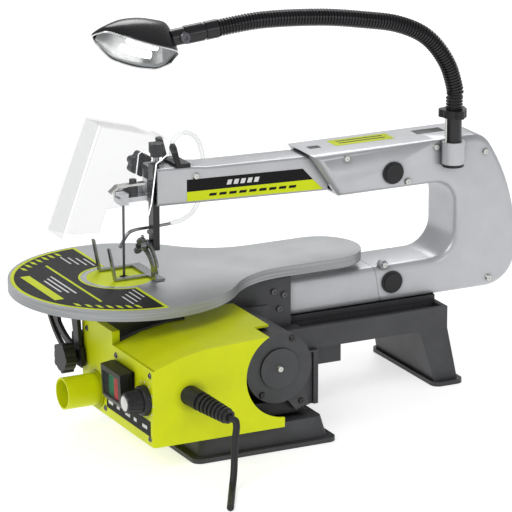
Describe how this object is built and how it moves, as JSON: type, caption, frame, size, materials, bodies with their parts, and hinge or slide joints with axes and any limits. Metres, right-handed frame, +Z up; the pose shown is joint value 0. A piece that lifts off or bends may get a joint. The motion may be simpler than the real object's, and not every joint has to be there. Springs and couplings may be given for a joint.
{
  "type": "scroll saw",
  "caption": "Parallel-arm scroll saw with a round tilting table, side motor with eccentric drive, blade guard, dust blower and gooseneck lamp.",
  "frame": {"origin": "point on the bench surface straight below the blade, on the front foot's land", "axes": "+Z up along the blade, +Y from the blade to the rear of the saw, +X to the operator's right, the motor side"},
  "size_m": [0.4658, 0.6179, 0.4549],
  "materials": {
    "silver_paint": "satin",
    "lime_paint": "satin",
    "charcoal_casting": "semi-matte paint",
    "steel": "zinc plated",
    "table_alloy": "machined with printed overlay",
    "blade_steel": "oiled",
    "black_plastic": "moulded",
    "gloss_black": "gloss",
    "green_plastic": "gloss",
    "red_plastic": "gloss",
    "lime_plastic": "satin",
    "clear_plastic": "clear",
    "board": "printed board",
    "cord_rubber": "moulded",
    "lens": "frosted"
  },
  "bodies": {
    "chassis": {"base": "charcoal_casting", "frame_shell_right": "silver_paint", "frame_shell_left": "silver_paint", "arm_cover_right": "silver_paint", "arm_cover_left": "silver_paint", "lower_cover_right": "silver_paint", "lower_cover_left": "silver_paint", "table_bracket": "charcoal_casting", "pivot_caps": "black_plastic", "frame_screws": "steel", "pivot_bolts": "steel", "motor_can": "charcoal_casting", "motor_end_cover": "charcoal_casting", "motor_bearings": "steel", "motor_bracket": "charcoal_casting", "motor_screws": "steel", "motor_housing": "lime_paint", "front_panel": "lime_paint", "panel_screws": "steel", "dust_port": "lime_plastic", "switch_body": "black_plastic", "speed_control": "steel", "control_board": "board", "strain_relief": "cord_rubber", "power_cord": "cord_rubber", "guard_bracket": "black_plastic", "air_hose": "clear_plastic"},
    "crank": {"motor_rotor": "steel", "motor_fan": "black_plastic", "eccentric": "steel"},
    "lower_rocker": {"lower_arm": "steel"},
    "rod": {"connecting_rod": "steel"},
    "upper_rocker": {"upper_arm": "steel"},
    "rear_link": {"tension_rod": "steel"},
    "blade_set": {"blade": "blade_steel", "upper_clamp": "steel", "lower_clamp": "steel"},
    "quick_lever": {"clamp_lever": "steel", "clamp_screw": "black_plastic"},
    "tension_handle": {"tension_knob": "black_plastic"},
    "worktable": {"table": "table_alloy", "table_insert": "lime_plastic", "bevel_scale": "charcoal_casting"},
    "bevel_lock": {"bevel_lock_knob": "black_plastic"},
    "post": {"hold_down_post": "black_plastic", "blower_tube": "steel"},
    "foot": {"hold_down_foot": "steel"},
    "foot_nut": {"wing_nut": "steel"},
    "post_lock": {"post_lock_knob": "black_plastic"},
    "guard": {"blade_guard": "clear_plastic"},
    "start": {"on_button": "green_plastic"},
    "stop": {"off_button": "red_plastic"},
    "flap": {"switch_cover": "black_plastic"},
    "speed": {"speed_knob": "black_plastic"},
    "lamp": {"lamp_stem": "gloss_black", "gooseneck": "gloss_black", "lamp_collar": "gloss_black", "lamp_head": "gloss_black", "lamp_lens": "lens"},
    "lamp_ring": {"lamp_nut": "black_plastic"}
  },
  "joints": [
    {"name": "motor_spin", "type": "hinge", "parent": "chassis", "child": "crank", "pos_m": [0.097, 0.108, 0.088], "axis": [1, 0, 0], "continuous": true},
    {"name": "lower_arm_swing", "type": "hinge", "parent": "chassis", "child": "lower_rocker", "pos_m": [0, 0.322, 0.1205], "axis": [1, 0, 0], "range_deg": [-1.35, 1.35]},
    {"name": "upper_arm_swing", "type": "hinge", "parent": "chassis", "child": "upper_rocker", "pos_m": [-0.007, 0.322, 0.2505], "axis": [1, 0, 0], "range_deg": [-1.35, 1.35]},
    {"name": "blade_pivot", "type": "hinge", "parent": "upper_rocker", "child": "blade_set", "pos_m": [0, 0, 0.2545], "axis": [1, 0, 0], "range_deg": [-1.35, 1.35]},
    {"name": "rear_link_pivot", "type": "hinge", "parent": "upper_rocker", "child": "rear_link", "pos_m": [0, 0.44, 0.2505], "axis": [1, 0, 0], "range_deg": [-1.35, 1.35]},
    {"name": "rod_pivot", "type": "hinge", "parent": "lower_rocker", "child": "rod", "pos_m": [0, 0.113, 0.1205], "axis": [1, 0, 0], "range_deg": [-1.35, 1.35]},
    {"name": "clamp_lever_turn", "type": "hinge", "parent": "blade_set", "child": "quick_lever", "pos_m": [0, 0.012, 0.262], "axis": [0, 0, 1], "range_deg": [-30, 30]},
    {"name": "tension_knob_turn", "type": "hinge", "parent": "upper_rocker", "child": "tension_handle", "pos_m": [-0.007, 0.044, 0.302], "axis": [0, 0, 1], "range_deg": [-180, 180]},
    {"name": "table_tilt", "type": "hinge", "parent": "chassis", "child": "worktable", "pos_m": [0, 0, 0.162], "axis": [0, -1, 0], "range_deg": [0, 45]},
    {"name": "bevel_lock_turn", "type": "hinge", "parent": "chassis", "child": "bevel_lock", "pos_m": [0, -0.07, 0.078], "axis": [0, 1, 0], "range_deg": [-120, 120]},
    {"name": "hold_down_lift", "type": "slide", "parent": "chassis", "child": "post", "axis": [0, 0, 1], "range_m": [0, 0.025]},
    {"name": "foot_tilt", "type": "hinge", "parent": "post", "child": "foot", "pos_m": [0, 0.023, 0.162], "axis": [0, -1, 0], "range_deg": [0, 45]},
    {"name": "wing_nut_turn", "type": "hinge", "parent": "post", "child": "foot_nut", "pos_m": [0.008, 0.018, 0.198], "axis": [0, 1, 0], "range_deg": [-120, 120]},
    {"name": "post_lock_turn", "type": "hinge", "parent": "chassis", "child": "post_lock", "pos_m": [-0.025, 0.034, 0.281], "axis": [1, 0, 0], "range_deg": [-120, 120]},
    {"name": "guard_swing", "type": "hinge", "parent": "chassis", "child": "guard", "pos_m": [0, 0.053, 0.309], "axis": [-1, 0, 0], "range_deg": [0, 40]},
    {"name": "start_press", "type": "slide", "parent": "chassis", "child": "start", "axis": [0, 1, 0], "range_m": [0, 0.003], "stiffness_N_per_m": 300},
    {"name": "stop_press", "type": "slide", "parent": "chassis", "child": "stop", "axis": [0, 1, 0], "range_m": [0, 0.003], "stiffness_N_per_m": 300},
    {"name": "flap_swing", "type": "hinge", "parent": "chassis", "child": "flap", "pos_m": [0.119, -0.0585, 0.0991], "axis": [-1, 0, 0], "range_deg": [0, 80]},
    {"name": "speed_turn", "type": "hinge", "parent": "chassis", "child": "speed", "pos_m": [0.172, -0.055, 0.077], "axis": [0, 1, 0], "range_deg": [0, 270]},
    {"name": "lamp_swivel", "type": "hinge", "parent": "chassis", "child": "lamp", "pos_m": [0.044, 0.396, 0.281], "axis": [0, 0, 1], "range_deg": [-90, 90]},
    {"name": "lamp_ring_turn", "type": "hinge", "parent": "lamp", "child": "lamp_ring", "pos_m": [0.044, 0.396, 0.314], "axis": [0, 0, 1], "range_deg": [-60, 60]}
  ],
  "couplings": [
    {"joint": "upper_arm_swing", "follows": "lower_arm_swing", "ratio": 1},
    {"joint": "blade_pivot", "follows": "lower_arm_swing", "ratio": -1},
    {"joint": "rear_link_pivot", "follows": "lower_arm_swing", "ratio": -1},
    {"joint": "rod_pivot", "follows": "lower_arm_swing", "ratio": -1},
    {"joint": "foot_tilt", "follows": "table_tilt", "ratio": 1}
  ]
}
